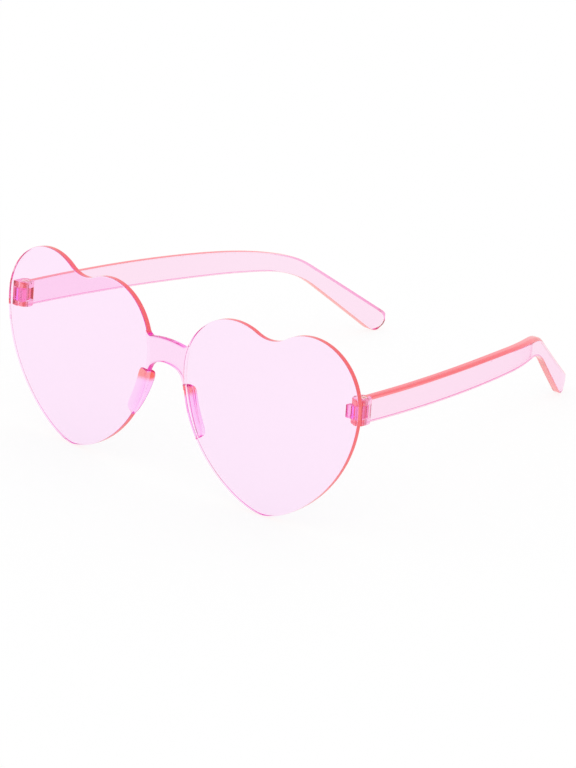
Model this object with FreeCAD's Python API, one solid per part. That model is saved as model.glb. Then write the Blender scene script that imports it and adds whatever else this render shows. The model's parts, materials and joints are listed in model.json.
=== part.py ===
import FreeCAD, Part
import math
import os

from FreeCAD import Rotation, Vector

# Heart shaped sunglasses, millimetres and degrees.
# Everything is drawn for the wearer's left side with the hearts upright, mirrored to the right,
# and then tipped back until the pair stands on its two heart tips and its two temple tips.
# X runs to the wearer's left, Y to the back of the head and Z up.

# Heart lenses: two lobes, a cleft between them and curved sides down to a rounded tip
TIP_SPACING = 83.0
LENS_THICKNESS = 2.0
LENS_WRAP = 4.2
OUTER_LOBE_RADIUS = 19.05
OUTER_LOBE_OFFSET = 15.1
OUTER_LOBE_HEIGHT = 41.1
INNER_LOBE_RADIUS = 19.4
INNER_LOBE_OFFSET = 14.65
INNER_LOBE_HEIGHT = 38.75
CLEFT_RADIUS = 11.8
TIP_FULLNESS = 9.8
OUTER_SIDE_FULLNESS = 25.4
INNER_SIDE_FULLNESS = 26.0
EDGE_ROUND = 0.35

# Bridge: an arched band between the inner lobes, set from the height of their centres;
# the arch falls by a share of its reach to each side
BRIDGE_THICKNESS = 2.2
BRIDGE_CREST_RISE = 6.75
BRIDGE_CREST_SAG = 1.8
BRIDGE_ARCH_DROP = 0.9
BRIDGE_ARCH_SHARE = 0.7458
BRIDGE_ROUND = 0.4
BRIDGE_OVERLAP = 4.6

# Nose pads: ribs behind the inner sides of the hearts, deepest at their top
PAD_TOP_DROP = 5.4
PAD_LENGTH = 16.6
PAD_WIDTH = 2.5
PAD_TOP_DEPTH = 2.6
PAD_FOOT_DEPTH = 0.8
PAD_ROUND = 0.4
PAD_STATIONS = 5

# Hinges: a tongue behind each heart, a fork on each temple and a screw as the pin
HINGE_DROP = 0.5
HINGE_HEIGHT = 8.0
HINGE_INSET = 3.05
HINGE_SETBACK = 3.5
TONGUE_HEIGHT = 4.1
TONGUE_RADIUS = 1.8
TONGUE_BASE_WIDTH = 0.8
FORK_WALL = 0.7
SLOT_CLEARANCE = 0.15
SWING_CLEARANCE = 0.2
STOP_CLEARANCE = 0.3

# Hinge screws
SCREW_RADIUS = 0.7
SCREW_RUNNING_CLEARANCE = 0.05
SCREW_HEAD_RADIUS = 1.25
SCREW_HEAD_HEIGHT = 0.9
SCREW_HEAD_CLEARANCE = 0.1
DRIVER_SLOT_WIDTH = 0.4
DRIVER_SLOT_DEPTH = 0.45

# Temples, side view: a bar, a crown over the ear and a hook with a round tip
TEMPLE_THICKNESS = 2.8
TEMPLE_ROUND = 0.45
BAR_FALL = 0.5
BEND_REACH = 102.7
BEND_RADIUS = 25.7
HOOK_FALL = 39.8
HOOK_LENGTH = 33.7
HOOK_NECK = 4.8
NECK_REACH = 4.2
TIP_RADIUS = 3.7
CROWN_START = 26.3
CROWN_FULLNESS = 73.0
CROWN_END_FULLNESS = 8.0

# Temples, seen from above: a slight inward bow along the bar, a tighter one at the ear,
# and a hook that turns slightly back outward
BAR_BOW_RADIUS = 335.0
BAR_BOW_LENGTH = 77.0
EAR_BOW_RADIUS = 84.0
EAR_TOE_IN = 26.0
HOOK_FLARE_RADIUS = 600.0

# A length beyond every piece that it is used to trim, a distance that counts as none,
# and how often an interval is halved to find a point on a curve
BEYOND = 2 * TIP_SPACING
TOUCH = 0.001
HALVINGS = 40

X_AXIS = Vector(1, 0, 0)
Y_AXIS = Vector(0, 1, 0)
Z_AXIS = Vector(0, 0, 1)


def bezier(*poles):
    curve = Part.BezierCurve()
    curve.setPoles(list(poles))
    return curve


def arc(start, middle, end):
    return Part.Arc(start, middle, end).toShape()


def line(start, end):
    return Part.LineSegment(start, end).toShape()


def prism(edges, sweep):
    return Part.Face(Part.Wire(edges)).extrude(sweep)


def upright_cylinder(radius, centre, low, high):
    return Part.makeCylinder(radius, high - low, Vector(centre.x, centre.y, low), Z_AXIS)


def block(low, high):
    size = high - low
    return Part.makeBox(size.x, size.y, size.z, low)


def mirrored(shape):
    return shape.mirror(Vector(0, 0, 0), X_AXIS)


def from_lens(shape):
    """Moves a shape from the left lens's own frame, with its heart tip at the origin, to its place."""
    placed = shape.copy()
    placed.rotate(Vector(0, 0, 0), Z_AXIS, LENS_WRAP)
    placed.translate(Vector(TIP_SPACING / 2, 0, 0))
    return placed


def lens_point(x, y, z):
    turned = Rotation(Z_AXIS, LENS_WRAP).multVec(Vector(x, y, z))
    return turned + Vector(TIP_SPACING / 2, 0, 0)


# Heart outline in the lens's own frame, seen from the front with +X towards the temple
OUTER_LOBE = Vector(OUTER_LOBE_OFFSET, 0, OUTER_LOBE_HEIGHT)
INNER_LOBE = Vector(-INNER_LOBE_OFFSET, 0, INNER_LOBE_HEIGHT)
OUTER_EXTREME = OUTER_LOBE + X_AXIS * OUTER_LOBE_RADIUS
INNER_EXTREME = INNER_LOBE - X_AXIS * INNER_LOBE_RADIUS
HEART_TIP = Vector(0, 0, 0)


def cleft_centre():
    """Centre of the arc that touches both lobes from above."""
    to_outer = OUTER_LOBE_RADIUS + CLEFT_RADIUS
    to_inner = INNER_LOBE_RADIUS + CLEFT_RADIUS
    span = INNER_LOBE - OUTER_LOBE
    foot = (to_outer ** 2 - to_inner ** 2 + span.Length ** 2) / (2 * span.Length)
    rise = math.sqrt(to_outer ** 2 - foot ** 2)
    direction = Vector(span).normalize()
    upward = Vector(direction.z, 0, -direction.x)
    return OUTER_LOBE + direction * foot + upward * rise


def inner_side_curve():
    return bezier(
        INNER_EXTREME,
        INNER_EXTREME - Z_AXIS * INNER_SIDE_FULLNESS,
        HEART_TIP - X_AXIS * TIP_FULLNESS,
        HEART_TIP,
    )


def outer_side_curve():
    return bezier(
        HEART_TIP,
        HEART_TIP + X_AXIS * TIP_FULLNESS,
        OUTER_EXTREME - Z_AXIS * OUTER_SIDE_FULLNESS,
        OUTER_EXTREME,
    )


def lobe_arc(centre, radius, start, end):
    middle = ((start - centre) + (end - centre)).normalize()
    return arc(start, centre + middle * radius, end)


def heart_edges():
    cleft = cleft_centre()
    outer_touch = OUTER_LOBE + (cleft - OUTER_LOBE).normalize() * OUTER_LOBE_RADIUS
    inner_touch = INNER_LOBE + (cleft - INNER_LOBE).normalize() * INNER_LOBE_RADIUS
    return [
        outer_side_curve().toShape(),
        lobe_arc(OUTER_LOBE, OUTER_LOBE_RADIUS, OUTER_EXTREME, outer_touch),
        arc(outer_touch, cleft - Z_AXIS * CLEFT_RADIUS, inner_touch),
        lobe_arc(INNER_LOBE, INNER_LOBE_RADIUS, inner_touch, INNER_EXTREME),
        inner_side_curve().toShape(),
    ]


def heart_lens():
    plate = prism(heart_edges(), Y_AXIS * LENS_THICKNESS)
    rims = [edge for edge in plate.Edges if edge.BoundBox.YLength < LENS_THICKNESS / 2]
    return from_lens(plate.makeFillet(EDGE_ROUND, rims))


def heart_column():
    """The heart outline carried far through the lens, used to trim what meets its rim."""
    column = prism(heart_edges(), Y_AXIS * BEYOND)
    column.translate(Y_AXIS * -BEYOND / 2)
    return from_lens(column)


def bridge():
    """The arched band, wide enough to run into both hearts and then trimmed to their rims."""
    crest = INNER_LOBE_HEIGHT + BRIDGE_CREST_RISE
    arch = INNER_LOBE_HEIGHT - BRIDGE_ARCH_DROP
    rim = lens_point(INNER_EXTREME.x, LENS_THICKNESS / 2, 0)
    reach = rim.x + BRIDGE_OVERLAP
    arch_foot = arch - reach * BRIDGE_ARCH_SHARE
    front = rim.y - BRIDGE_THICKNESS / 2
    top_left = Vector(reach, front, crest - BRIDGE_CREST_SAG)
    top_right = Vector(-reach, front, crest - BRIDGE_CREST_SAG)
    foot_left = Vector(reach, front, arch_foot)
    foot_right = Vector(-reach, front, arch_foot)
    outline = [
        arc(top_left, Vector(0, front, crest), top_right),
        line(top_right, foot_right),
        arc(foot_right, Vector(0, front, arch), foot_left),
        line(foot_left, top_left),
    ]
    band = prism(outline, Y_AXIS * BRIDGE_THICKNESS)
    arches = [edge for edge in band.Edges if edge.BoundBox.XLength > rim.x]
    band = band.makeFillet(BRIDGE_ROUND, arches)
    left = heart_column()
    return band.cut(left).cut(mirrored(left))


def side_parameter(curve, height):
    """Parameter where the inner side curve passes a height, by halving."""
    low = curve.FirstParameter
    high = curve.LastParameter
    for _ in range(HALVINGS):
        middle = (low + high) / 2
        if curve.value(middle).z > height:
            low = middle
        else:
            high = middle
    return low


def side_offset(curve, parameter, inset):
    """Point a given distance inside the heart from its inner side curve."""
    tangent = Vector(curve.tangent(parameter)[0])
    return curve.value(parameter) + Vector(-tangent.z, 0, tangent.x) * inset


def pad_side(curve, start, end, inset):
    spread = (end - start) / (PAD_STATIONS - 1)
    points = [side_offset(curve, start + spread * index, inset) for index in range(PAD_STATIONS)]
    first = Vector(curve.tangent(start)[0])
    last = Vector(curve.tangent(end)[0])
    side = Part.BSplineCurve()
    side.interpolate(Points=points, InitialTangent=first, FinalTangent=last)
    return side.toShape(), points[0], points[-1]


def pad_end(curve, parameter, near, far, outward):
    """Half round end of a pad, bulging along the side curve."""
    tangent = Vector(curve.tangent(parameter)[0])
    return arc(near, (near + far) * 0.5 + tangent * outward * PAD_WIDTH / 2, far)


def beyond(point, normal):
    """A large block that starts at a point and fills the side its normal points to."""
    half = block(Vector(-BEYOND, -BEYOND, 0), Vector(BEYOND, BEYOND, BEYOND))
    half.Placement = FreeCAD.Placement(point, Rotation(Z_AXIS, normal)).multiply(half.Placement)
    return half


def nose_pad():
    """A rib along the inner side with round ends and less depth at its foot."""
    curve = inner_side_curve()
    top = INNER_LOBE_HEIGHT - PAD_TOP_DROP
    start = side_parameter(curve, top - PAD_WIDTH / 2)
    end = side_parameter(curve, top - PAD_LENGTH + PAD_WIDTH / 2)
    near, near_top, near_foot = pad_side(curve, start, end, EDGE_ROUND)
    far, far_top, far_foot = pad_side(curve, start, end, EDGE_ROUND + PAD_WIDTH)
    head = pad_end(curve, start, near_top, far_top, -1)
    foot = pad_end(curve, end, near_foot, far_foot, 1)
    rib = prism([near, foot, far, head], Y_AXIS * (PAD_TOP_DEPTH + PAD_WIDTH))
    rib.translate(Y_AXIS * LENS_THICKNESS)
    along = (near_foot - near_top).normalize()
    drop = (PAD_TOP_DEPTH - PAD_FOOT_DEPTH) / (near_foot - near_top).Length
    back_top = near_top + Y_AXIS * (LENS_THICKNESS + PAD_TOP_DEPTH)
    rib = rib.cut(beyond(back_top, Y_AXIS + along * drop))
    free = [edge for edge in rib.Edges if edge.BoundBox.YMin > LENS_THICKNESS + PAD_ROUND / 2]
    return from_lens(rib.makeFillet(PAD_ROUND, free))


# Hinge axis, from the outer edge of the lens and its back face
LENS_BACK = lens_point(OUTER_EXTREME.x - HINGE_INSET, LENS_THICKNESS, 0)
HINGE_MIDDLE = OUTER_LOBE_HEIGHT - HINGE_DROP
HINGE = Vector(LENS_BACK.x, LENS_BACK.y + HINGE_SETBACK, HINGE_MIDDLE)
HINGE_TOP = HINGE_MIDDLE + HINGE_HEIGHT / 2
HINGE_FOOT = HINGE_MIDDLE - HINGE_HEIGHT / 2
TONGUE_TOP = HINGE_MIDDLE + TONGUE_HEIGHT / 2
TONGUE_FOOT = HINGE_MIDDLE - TONGUE_HEIGHT / 2
SLOT_RADIUS = TONGUE_RADIUS + SWING_CLEARANCE
FORK_RADIUS = SLOT_RADIUS + FORK_WALL


def in_front_of_lens_back(gap):
    """A block that fills all space in front of the lens's back face, or of a gap behind it."""
    low = Vector(-BEYOND, -BEYOND, -BEYOND)
    high = Vector(BEYOND, LENS_THICKNESS + gap, BEYOND)
    return from_lens(block(low, high))


def hinge_lug():
    """The fixed tongue: a round knuckle on a stem from the lens's back, wider at its base."""
    knuckle = upright_cylinder(TONGUE_RADIUS, HINGE, TONGUE_FOOT, TONGUE_TOP)
    front = HINGE.y - BEYOND
    stem_low = Vector(HINGE.x - TONGUE_RADIUS, front, TONGUE_FOOT)
    stem_high = Vector(HINGE.x + TONGUE_RADIUS, HINGE.y, TONGUE_TOP)
    base_low = Vector(stem_low.x - TONGUE_BASE_WIDTH, front, TONGUE_FOOT)
    base_high = Vector(stem_low.x, HINGE.y - HINGE_SETBACK / 2, TONGUE_TOP)
    lug = knuckle.fuse([block(stem_low, stem_high), block(base_low, base_high)])
    lug = lug.cut(in_front_of_lens_back(0))
    bore = upright_cylinder(SCREW_RADIUS + SCREW_RUNNING_CLEARANCE, HINGE, HINGE_FOOT, HINGE_TOP)
    return lug.cut(bore).removeSplitter()


def hinge_screw():
    """A plain shank through the fork and the tongue, with a slotted head let into the fork's top."""
    shank = upright_cylinder(SCREW_RADIUS, HINGE, HINGE_FOOT, HINGE_TOP - SCREW_HEAD_HEIGHT)
    head = upright_cylinder(SCREW_HEAD_RADIUS, HINGE, HINGE_TOP - SCREW_HEAD_HEIGHT, HINGE_TOP)
    half_slot = Vector(2 * SCREW_HEAD_RADIUS, DRIVER_SLOT_WIDTH / 2, DRIVER_SLOT_DEPTH)
    centre = Vector(HINGE.x, HINGE.y, HINGE_TOP)
    slot = block(centre - half_slot, centre + half_slot)
    return shank.fuse(head).cut(slot).removeSplitter()


def falling(angle):
    """Directions along and across a side view line that falls to the back by an angle."""
    turn = math.radians(angle)
    along = Vector(0, math.cos(turn), -math.sin(turn))
    across = Vector(0, math.sin(turn), math.cos(turn))
    return along, across


def bend_corner():
    """Corner where the lower edges of bar and hook would meet."""
    along, _ = falling(BAR_FALL)
    return Vector(0, HINGE.y, HINGE_FOOT) + along * BEND_REACH


def tip_centre():
    along, across = falling(HOOK_FALL)
    return bend_corner() + along * HOOK_LENGTH + across * TIP_RADIUS


def temple_outline():
    """Side view of the temple: level top, crown, hook with a round tip and a rounded inner bend."""
    bar_along, _ = falling(BAR_FALL)
    hook_along, hook_across = falling(HOOK_FALL)
    half_turn = math.radians(HOOK_FALL - BAR_FALL) / 2
    corner = bend_corner()
    bend_start = corner - bar_along * BEND_RADIUS * math.tan(half_turn)
    bend_end = corner + hook_along * BEND_RADIUS * math.tan(half_turn)
    bend_depth = BEND_RADIUS * (1 / math.cos(half_turn) - 1)
    bend_middle = corner + (hook_along - bar_along).normalize() * bend_depth
    tip = tip_centre()
    tip_under = tip - hook_across * TIP_RADIUS
    neck = corner + hook_across * HOOK_NECK + hook_along * NECK_REACH
    to_tip = tip - neck
    heading = math.atan2(-to_tip.z, to_tip.y) - math.asin(TIP_RADIUS / to_tip.Length)
    neck_along, neck_across = falling(math.degrees(heading))
    tip_over = tip + neck_across * TIP_RADIUS
    tip_end = tip + (hook_along + neck_along).normalize() * TIP_RADIUS
    foot_front = Vector(0, HINGE.y, HINGE_FOOT)
    top_front = Vector(0, HINGE.y, HINGE_TOP)
    crown_start = top_front + Y_AXIS * CROWN_START
    crown = bezier(
        crown_start,
        crown_start + Y_AXIS * CROWN_FULLNESS,
        neck - neck_along * CROWN_END_FULLNESS,
        neck,
    )
    return [
        line(foot_front, bend_start),
        arc(bend_start, bend_middle, bend_end),
        line(bend_end, tip_under),
        arc(tip_under, tip_end, tip_over),
        line(tip_over, neck),
        crown.toShape(),
        line(crown_start, top_front),
        line(top_front, foot_front),
    ]


def bow_point(start, first, radius, heading, sideways):
    """Point beside an arc from one heading to another, in radians; a negative radius turns outward."""
    along = radius * (math.sin(heading) - math.sin(first))
    inward = radius * (math.cos(first) - math.cos(heading))
    across = Vector(math.cos(heading), math.sin(heading), 0)
    return start + Vector(-inward, along, 0) + across * sideways


def temple_sheet():
    """Plan view of the temple: an even sheet along a slight bow, a tighter bow and an outward one."""
    half = TEMPLE_THICKNESS / 2
    start = Vector(HINGE.x, HINGE.y, 0)
    bowed = math.asin(BAR_BOW_LENGTH / BAR_BOW_RADIUS)
    toe = math.radians(EAR_TOE_IN)
    ear = bow_point(start, 0, BAR_BOW_RADIUS, bowed, 0)
    hook = bow_point(ear, bowed, EAR_BOW_RADIUS, toe, 0)
    rest = tip_centre().y + 2 * TIP_RADIUS - hook.y
    last = math.asin(math.sin(toe) - rest / HOOK_FLARE_RADIUS)
    sides = []
    for sideways in (half, -half):
        bar_arc = [bow_point(start, 0, BAR_BOW_RADIUS, turn * bowed, sideways) for turn in (0, 0.5, 1)]
        ear_turns = (bowed, (bowed + toe) / 2, toe)
        ear_arc = [bow_point(ear, bowed, EAR_BOW_RADIUS, turn, sideways) for turn in ear_turns]
        hook_turns = (toe, (toe + last) / 2, last)
        hook_arc = [bow_point(hook, toe, -HOOK_FLARE_RADIUS, turn, sideways) for turn in hook_turns]
        sides.append(([arc(*bar_arc), arc(*ear_arc), arc(*hook_arc)], bar_arc[0], hook_arc[-1]))
    (outside, outer_front, outer_end), (inside, inner_front, inner_end) = sides
    edges = outside + [line(outer_end, inner_end)] + inside[::-1] + [line(inner_front, outer_front)]
    return prism(edges, Z_AXIS * 2 * HINGE_TOP)


def temple_arm():
    """The arm behind the hinge axis, with its long edges and its tip rounded."""
    arm = temple_sheet().common(prism(temple_outline(), X_AXIS * BEYOND))
    long_edges = [edge for edge in arm.Edges if edge.BoundBox.YLength > TOUCH]
    return arm.makeFillet(TEMPLE_ROUND, long_edges)


def fork():
    """Round prongs about the hinge axis with a square heel outside, which stops the temple when open."""
    barrel = upright_cylinder(FORK_RADIUS, HINGE, HINGE_FOOT, HINGE_TOP)
    heel_low = Vector(HINGE.x, HINGE.y - HINGE_SETBACK, HINGE_FOOT)
    heel_high = Vector(HINGE.x + FORK_RADIUS, HINGE.y, HINGE_TOP)
    return barrel.fuse(block(heel_low, heel_high))


def fork_slot():
    """Room for the tongue, open to the front and the inside, round at its outer back corner."""
    low = TONGUE_FOOT - SLOT_CLEARANCE
    high = TONGUE_TOP + SLOT_CLEARANCE
    corner = Vector(HINGE.x - BEYOND, HINGE.y - BEYOND, low)
    front = block(corner, Vector(HINGE.x + SLOT_RADIUS, HINGE.y, high))
    inside = block(corner, Vector(HINGE.x, HINGE.y + SLOT_RADIUS, high))
    return upright_cylinder(SLOT_RADIUS, HINGE, low, high).fuse([front, inside])


def temple():
    arm = temple_arm().fuse(fork()).cut(fork_slot()).cut(in_front_of_lens_back(STOP_CLEARANCE))
    bore = upright_cylinder(SCREW_RADIUS, HINGE, HINGE_FOOT, HINGE_TOP)
    sink_radius = SCREW_HEAD_RADIUS + SCREW_HEAD_CLEARANCE
    sink = upright_cylinder(sink_radius, HINGE, HINGE_TOP - SCREW_HEAD_HEIGHT, HINGE_TOP)
    return arm.cut(bore).cut(sink).removeSplitter()


def standing_tilt():
    """Angle that brings the temple tips down to the level of the heart tips' back edges."""
    tip = tip_centre()
    back = lens_point(0, LENS_THICKNESS, 0).y
    distance = math.hypot(tip.y - back, tip.z)
    return math.degrees(math.atan2(tip.z, tip.y - back) - math.asin(TIP_RADIUS / distance))


def stood_up(shape, tilt):
    placed = shape.copy()
    placed.rotate(Vector(0, 0, 0), X_AXIS, -tilt)
    return placed


def main():
    tilt = standing_tilt()
    pieces = {"bridge": bridge()}
    for name, make in (
        ("heart_lens", heart_lens),
        ("nose_pad", nose_pad),
        ("hinge_lug", hinge_lug),
        ("temple", temple),
        ("hinge_screw", hinge_screw),
    ):
        left = make()
        pieces["left_" + name] = left
        pieces["right_" + name] = mirrored(left)
    pieces = {name: stood_up(shape, tilt) for name, shape in pieces.items()}
    box = Part.makeCompound(list(pieces.values())).optimalBoundingBox()
    origin = Vector((box.XMin + box.XMax) / 2, (box.YMin + box.YMax) / 2, box.ZMin)
    os.makedirs("parts", exist_ok=True)
    for name, shape in pieces.items():
        shape.translate(origin * -1)
        shape.exportStep("parts/" + name + ".step")
    turn = Rotation(X_AXIS, -tilt)
    pivot = turn.multVec(HINGE) - origin
    axis = turn.multVec(Z_AXIS)
    print("standing tilt", round(tilt, 4))
    print("left hinge at", [round(value, 4) for value in pivot])
    print("hinge axis", [round(value, 6) for value in axis])
    print("origin shift", [round(value, 4) for value in origin])


main()
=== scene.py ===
import json
import math

import bmesh
import bpy
from bpy.props import FloatProperty, FloatVectorProperty, PointerProperty
from mathutils import Matrix, Vector


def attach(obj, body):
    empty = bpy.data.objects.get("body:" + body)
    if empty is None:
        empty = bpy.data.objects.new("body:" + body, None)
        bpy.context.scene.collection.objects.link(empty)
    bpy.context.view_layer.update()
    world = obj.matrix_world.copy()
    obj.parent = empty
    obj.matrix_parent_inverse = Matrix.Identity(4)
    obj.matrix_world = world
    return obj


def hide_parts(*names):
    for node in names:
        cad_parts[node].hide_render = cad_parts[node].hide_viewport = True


bl_info = {
    "name": "Heart Shaped Sunglasses",
    "version": (1, 0, 0),
    "blender": (4, 5, 0),
    "location": "View3D > Sidebar > Sunglasses",
    "description": "Dresses the packed heart shaped sunglasses in clear pink plastic",
    "category": "Object",
}

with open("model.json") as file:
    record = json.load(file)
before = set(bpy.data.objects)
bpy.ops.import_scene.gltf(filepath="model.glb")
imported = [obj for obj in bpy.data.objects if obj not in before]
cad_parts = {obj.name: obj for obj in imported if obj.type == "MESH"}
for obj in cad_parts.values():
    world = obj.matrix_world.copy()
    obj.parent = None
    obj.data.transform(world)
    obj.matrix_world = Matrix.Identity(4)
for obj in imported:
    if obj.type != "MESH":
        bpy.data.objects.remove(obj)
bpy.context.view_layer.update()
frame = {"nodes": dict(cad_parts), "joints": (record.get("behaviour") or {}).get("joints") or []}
MM = 0.001

# Spacing of the points along an outline, and the steps across a rounded edge
OUTLINE_SPACING = 0.7 * MM
FINE_SPACING = 0.25 * MM
CURVE_STEPS = 160
ROUND_STEPS = 5
CIRCLE_STEPS = 48
BOW_CUT = 1.0 * MM
PAD_SMOOTHING = 3
# Lengths and distances below these count as nothing
LEAST_LENGTH = 1e-12
CUT_TOLERANCE = 1e-7
# How far one moulded piece is sunk into the next before they are joined
SINK = 0.5 * MM
# Steeper edges than this stay sharp in the shading
SHARP_ANGLE = math.radians(40)
SHADING_WEIGHT = 100

# The photograph's focal length and height in pixels, and the camera's sensor in millimetres
PHOTO_FOCAL = 4777.7
PHOTO_HEIGHT = 768
SENSOR = 36
CAMERA_REACH = 50
FLOOR_HALF_WIDTH = 4.0
FLOOR_DROP = 0.2 * MM
# Share of the floor's white that doesn't depend on the light that reaches it
FLOOR_GLOW = 0.85
# Light passes through many clear faces before it leaves the plastic
LIGHT_BOUNCES = 64
PLASTIC_IOR = 1.42
# How far below white the most absorbed colour stands in the absorption colour
DEEPEST_SHARE = 0.8

# Zones of a moulding that take a tint of their own; on every zone but the lens faces and the temple sides
# that tint is painted light, the glow and deeper colour of light carried through the plastic
ZONE_COUNT = 9
(
    LENS_FACE, LENS_RIM, BRIDGE_FACE, BRIDGE_EDGE, NOSE_PAD, HINGE_LUG, TEMPLE_SIDE, TEMPLE_EDGE, FORK,
) = range(ZONE_COUNT)
# Zones whose painted glow shows on faces met from outside, and not through the plastic
OUTSIDE_GLOW_ZONES = (LENS_RIM, TEMPLE_EDGE)

# Where a painted glow or painted deeper colour fades in: low and high shares of the pad's length, of a
# direction or of a width
RIM_GLOW_TURN = (0.15, 0.6)
BESIDE_PAD_END = 0.93
BRIDGE_CORNER_GLOW_TURN = (0.4, 0.8)
PAD_TOP_GLOW_FADE = (0.16, 0.28)
PAD_FOOT_GLOW_FADE = (0.88, 0.97)
PAD_FOOT_GLOW_STRENGTH = 0.7
STOP_GLOW_TURN = (0.3, 0.7)
CROWN_GLOW_TURN = (0.1, 0.5)
CROWN_GLOW_WIDTH = (-0.5, -0.4)
UNDERSIDE_GLOW_TURN = (0.2, 0.6)
BEND_FADE = 4 * MM
# Where a rounding fades in: directions of the outline, and shares of the crown's or the fillet's size
CROWN_ROUND_TURN = (0.2, 0.8)
HOOK_END_TURN = (0.0, 0.6)
HOOK_END_TOP = (0.2, 0.6)
HINGE_END_FADE = (0.0, 2.0)
BRIDGE_ROUND_FADE = (0.1, 0.9)
# Shape of the hollows between the bridge and the rims
ARCH_END_SHARE = 0.8
HOLLOW_SINK_SHARE = 0.3
# Turn round the inner lobe at which the rim beside the bridge starts
RIM_START = math.pi * 0.75


def length(name, description, millimetres):
    return FloatProperty(
        name=name, description=description, default=millimetres * MM, unit="LENGTH", precision=5,
    )


def angle(name, description, degrees):
    return FloatProperty(
        name=name, description=description, default=math.radians(degrees), subtype="ANGLE",
    )


def tint(name, description, red, green, blue, clarity):
    return FloatVectorProperty(
        name=name, description=description, default=(red, green, blue, clarity), size=4,
        min=0.0, max=1.0, subtype="COLOR",
    )


def absorption(name, description, red, green, blue):
    return FloatVectorProperty(
        name=name, description=description, default=(red, green, blue), size=3, min=0.0,
    )


class HeartLensSettings(bpy.types.PropertyGroup):
    """Sizes of the two heart lenses"""

    tip_spacing: length("Tip spacing", "Distance between the two heart tips", 83.0)
    thickness: length("Thickness", "Thickness of the lens plate", 2.0)
    wrap: angle("Wrap", "Turn of each lens round the face", 4.2)
    outer_lobe_radius: length("Outer lobe radius", "Radius of the lobe beside the temple", 19.05)
    outer_lobe_offset: length("Outer lobe offset", "Distance of that lobe's centre beside the tip", 15.1)
    outer_lobe_height: length("Outer lobe height", "Height of that lobe's centre over the tip", 41.1)
    inner_lobe_radius: length("Inner lobe radius", "Radius of the lobe beside the nose", 19.4)
    inner_lobe_offset: length("Inner lobe offset", "Distance of its centre beside the tip", 14.65)
    inner_lobe_height: length("Inner lobe height", "Height of that lobe's centre over the tip", 38.75)
    cleft_radius: length("Cleft radius", "Radius of the dip between the lobes", 11.8)
    tip_fullness: length("Tip fullness", "How far the tip's curve runs level", 9.8)
    outer_side_fullness: length("Outer side fullness", "How far the outer side runs upright", 25.4)
    inner_side_fullness: length("Inner side fullness", "How far the inner side runs upright", 26.0)
    edge_round: length("Edge rounding", "Radius along the edges of the plate", 0.3)


class BridgeSettings(bpy.types.PropertyGroup):
    """Sizes of the arched bridge"""

    thickness: length("Thickness", "Thickness of the band", 2.2)
    crest_rise: length("Crest rise", "Top of the bridge over the inner lobes' centres", 6.75)
    crest_sag: length("Crest sag", "Fall of the crest from its middle to its ends", 1.8)
    arch_drop: length("Arch drop", "Top of the arch under the inner lobes' centres", 0.9)
    arch_sag: length("Arch sag", "Fall of the arch from its middle to its ends", 9.0)
    overlap: length("Overlap", "Reach of both curves beyond the rim", 4.6)
    edge_round: length("Edge rounding", "Radius along the edges of the band", 0.4)
    crest_fillet: length("Crest fillet", "Length of the hollow where the crest meets a rim", 1.6)
    arch_fillet: length("Arch fillet", "Length of the hollow where the arch meets a rim", 3.6)


class NosePadSettings(bpy.types.PropertyGroup):
    """Sizes of the nose pads"""

    top_drop: length("Top drop", "Top of the pad under the inner lobe's centre", 5.4)
    reach: length("Length", "Length of the pad along the rim, measured upright", 16.6)
    width: length("Width", "Width of the pad", 2.5)
    top_depth: length("Top depth", "Depth of the pad at its top", 2.6)
    foot_depth: length("Foot depth", "Depth of the pad at its foot", 0.8)
    flare: length("Root flare", "Extra width where the pad grows out of the lens", 1.8)
    overhang: length("Overhang", "How far the pad's top leans past the rim", 0.5)


class HingeSettings(bpy.types.PropertyGroup):
    """Sizes of the hinges"""

    drop: length("Drop", "Middle of the hinge under the outer lobe's centre", 0.5)
    height: length("Height", "Height of the fork", 8.0)
    inset: length("Inset", "Distance of the axis inside the outer edge", 3.05)
    setback: length("Setback", "Distance of the axis behind the lens", 3.5)
    tongue_height: length("Tongue height", "Height of the fixed tongue", 4.1)
    tongue_radius: length("Tongue radius", "Radius of the tongue's knuckle", 1.8)
    tongue_base: length("Tongue base", "Extra width of the tongue at the lens", 0.8)
    fork_wall: length("Fork wall", "Wall of the fork round its slot", 0.7)
    slot_clearance: length("Slot clearance", "Room over and under the tongue", 0.15)
    swing_clearance: length("Swing clearance", "Room round the tongue's knuckle", 0.2)
    stop_clearance: length("Stop clearance", "Room between the fork's heel and the lens", 0.3)
    edge_round: length("Edge rounding", "Radius along the edges of tongue and fork", 0.25)
    screw_radius: length("Screw radius", "Radius of the screw's shank", 0.7)
    screw_room: length("Screw room", "Room round the screw", 0.03)
    head_radius: length("Head radius", "Radius of the screw's head", 1.25)
    head_height: length("Head height", "Height of the screw's head", 0.9)
    head_room: length("Head room", "Room round the screw's head", 0.1)


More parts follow.
